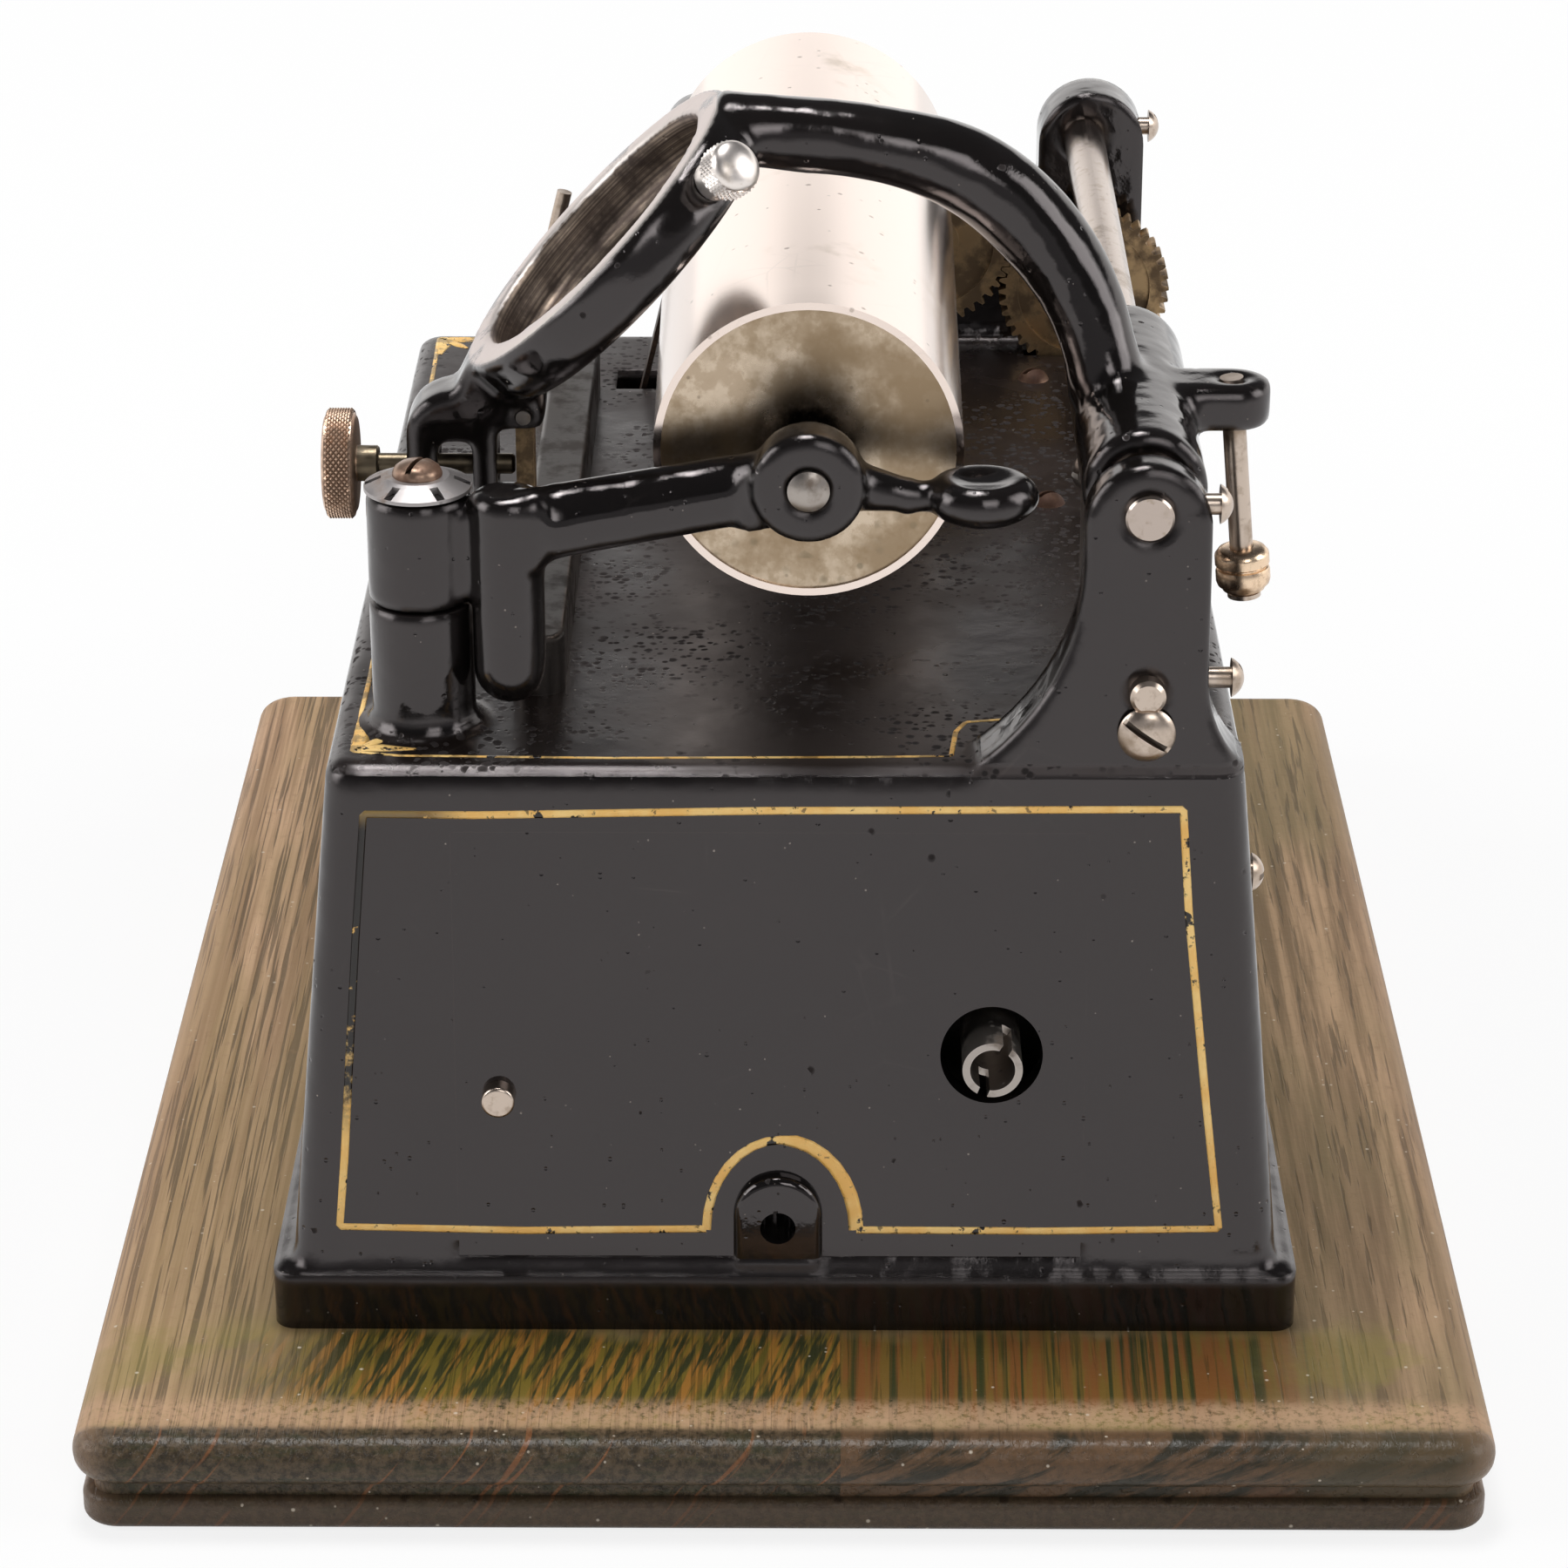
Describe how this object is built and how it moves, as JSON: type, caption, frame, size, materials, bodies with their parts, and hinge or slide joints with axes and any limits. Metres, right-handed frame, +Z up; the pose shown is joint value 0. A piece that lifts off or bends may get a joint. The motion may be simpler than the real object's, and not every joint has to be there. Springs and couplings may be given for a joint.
{
  "type": "cylinder phonograph",
  "caption": "Spring-driven cylinder phonograph on a stepped wooden base, with a belt-driven mandrel, a swinging end gate and a sliding reproducer carriage.",
  "frame": {"origin": "centre of the base board's underside", "axes": "+X along the mandrel towards the winding end, +Y towards the back rod, +Z up"},
  "size_m": [0.2506, 0.1872, 0.1728],
  "materials": {
    "oak_front": "green-stained oak under brown grime, open dark pores, worn edges",
    "oak_rear": "brown-stained oak, open dark pores, worn edges",
    "oak_lower": "brown oak, dull, dark in the groove",
    "japan": "glossy black japan with chips, rust specks and gold pinstripes",
    "nickel": "worn nickel plate with yellow-brown spots",
    "nickel_dull": "tarnished nickel plate",
    "steel": "plain steel, dull",
    "steel_dark": "dark oiled steel",
    "steel_rusty": "rust-browned steel",
    "brass": "dull brass",
    "brass_dark": "tarnished brass",
    "belt_leather": "dark oiled leather",
    "pad_leather": "brake leather"
  },
  "bodies": {
    "chassis": {"base_lower_board": "oak_lower", "base_plank_front": "oak_front", "base_plank_rear": "oak_rear", "base_screws": "steel_rusty", "body_casting": "japan", "near_wall": "japan", "set_screws": "nickel_dull", "keeper_screw": "nickel_dull", "back_rod": "nickel", "pivot_pin": "nickel_dull", "steady_pin": "steel", "plate_screws": "steel_rusty", "straight_edge": "steel_dark", "bearing_bushes": "brass_dark", "idler_stud": "steel", "hinge_screw": "nickel_dull", "notched_washer": "nickel_dull", "drive_belt": "belt_leather", "lever_bracket": "steel_dark", "motor_plate_far": "steel", "motor_plate_middle": "steel", "motor_plate_near": "steel", "motor_pillars": "steel"},
    "mandrel": {"mandrel_shell": "nickel", "mandrel_end_discs": "nickel_dull", "mandrel_shaft": "steel", "belt_pulley": "steel_dark", "mandrel_gear": "brass"},
    "idler": {"idler_gear": "brass"},
    "feed": {"feed_screw": "steel", "feed_gear": "brass"},
    "gate": {"end_gate": "japan", "gate_centre_pin": "steel"},
    "carriage_slider": {"carriage_bushes": "brass"},
    "carriage": {"carriage_arm": "japan", "lug_pin": "nickel_dull", "carriage_pins": "steel", "feed_nut_spring": "steel", "half_nut": "brass"},
    "roller": {"guide_roller": "brass_dark"},
    "clamp": {"clamp_screw": "nickel"},
    "adjuster": {"adjusting_screw": "brass"},
    "finger": {"rider_finger": "brass"},
    "lever": {"stop_lever": "nickel_dull", "brake_pad": "pad_leather"},
    "winding": {"winding_arbor": "steel", "ratchet_wheel": "steel"},
    "click": {"click": "steel"},
    "barrel": {"spring_barrel": "brass", "barrel_cap": "brass", "mainspring": "steel_dark"},
    "intermediate": {"intermediate_arbor": "steel", "intermediate_wheel": "brass"},
    "drive": {"drive_shaft": "steel", "drive_pulley": "steel_dark", "governor_wheel": "brass"},
    "governor": {"governor_shaft": "steel", "governor_springs": "steel_dark", "governor_weights": "brass_dark", "governor_disc": "brass"}
  },
  "joints": [
    {"name": "mandrel_spin", "type": "hinge", "parent": "chassis", "child": "mandrel", "pos_m": [0, 0.003, 0.1295], "axis": [1, 0, 0], "continuous": true},
    {"name": "idler_spin", "type": "hinge", "parent": "chassis", "child": "idler", "pos_m": [0, 0.022, 0.11117], "axis": [1, 0, 0], "continuous": true},
    {"name": "feed_spin", "type": "hinge", "parent": "chassis", "child": "feed", "pos_m": [0, 0.0472, 0.1033], "axis": [1, 0, 0], "continuous": true},
    {"name": "drive_spin", "type": "hinge", "parent": "chassis", "child": "drive", "pos_m": [0, -0.02208, 0.048], "axis": [1, 0, 0], "continuous": true},
    {"name": "intermediate_spin", "type": "hinge", "parent": "chassis", "child": "intermediate", "pos_m": [0, -0.00356, 0.06326], "axis": [1, 0, 0], "continuous": true},
    {"name": "barrel_spin", "type": "hinge", "parent": "chassis", "child": "barrel", "pos_m": [0, 0.0276, 0.053], "axis": [1, 0, 0], "continuous": true},
    {"name": "governor_spin", "type": "hinge", "parent": "chassis", "child": "governor", "pos_m": [0, -0.03681, 0.04113], "axis": [1, 0, 0], "continuous": true},
    {"name": "winding_turn", "type": "hinge", "parent": "chassis", "child": "winding", "pos_m": [0, 0.0276, 0.053], "axis": [1, 0, 0], "continuous": true},
    {"name": "click_rock", "type": "hinge", "parent": "chassis", "child": "click", "pos_m": [0.06, 0.0405, 0.062], "axis": [-1, 0, 0], "range_deg": [0, 12]},
    {"name": "gate_swing", "type": "hinge", "parent": "chassis", "child": "gate", "pos_m": [0.0695, -0.0483, 0.118], "axis": [0, 0, -1], "range_deg": [0, 110]},
    {"name": "carriage_slide", "type": "slide", "parent": "chassis", "child": "carriage_slider", "axis": [-1, 0, 0], "range_m": [-0.003, 0.103]},
    {"name": "arm_lift", "type": "hinge", "parent": "carriage_slider", "child": "carriage", "pos_m": [0.0465, 0.047, 0.1266], "axis": [-1, 0, 0], "range_deg": [0, 18]},
    {"name": "roller_spin", "type": "hinge", "parent": "carriage", "child": "roller", "pos_m": [0.0465, 0.06, 0.1332], "axis": [0, 0.0924, -0.9957], "continuous": true},
    {"name": "clamp_screw_turn", "type": "hinge", "parent": "carriage", "child": "clamp", "pos_m": [0.06257, -0.00979, 0.16527], "axis": [0.6428, 0.5321, 0.551], "range_deg": [-180, 180]},
    {"name": "adjusting_screw_turn", "type": "hinge", "parent": "carriage", "child": "adjuster", "pos_m": [0.0495, -0.05, 0.1217], "axis": [0, 1, 0], "range_deg": [-180, 180]},
    {"name": "finger_swing", "type": "hinge", "parent": "carriage", "child": "finger", "pos_m": [0.0495, -0.0352, 0.1298], "axis": [1, 0, 0], "range_deg": [-1.8, 1.8]},
    {"name": "stop_lever_rock", "type": "hinge", "parent": "chassis", "child": "lever", "pos_m": [-0.0785, -0.0402, 0.082], "axis": [1, 0, 0], "range_deg": [-2, 10]}
  ],
  "couplings": [
    {"joint": "idler_spin", "follows": "mandrel_spin", "ratio": -1},
    {"joint": "feed_spin", "follows": "mandrel_spin", "ratio": 1},
    {"joint": "drive_spin", "follows": "mandrel_spin", "ratio": 1.431},
    {"joint": "intermediate_spin", "follows": "mandrel_spin", "ratio": -0.35776},
    {"joint": "barrel_spin", "follows": "mandrel_spin", "ratio": 0.06133},
    {"joint": "governor_spin", "follows": "mandrel_spin", "ratio": -6.3204},
    {"joint": "finger_swing", "follows": "adjusting_screw_turn", "ratio": 0.01}
  ]
}
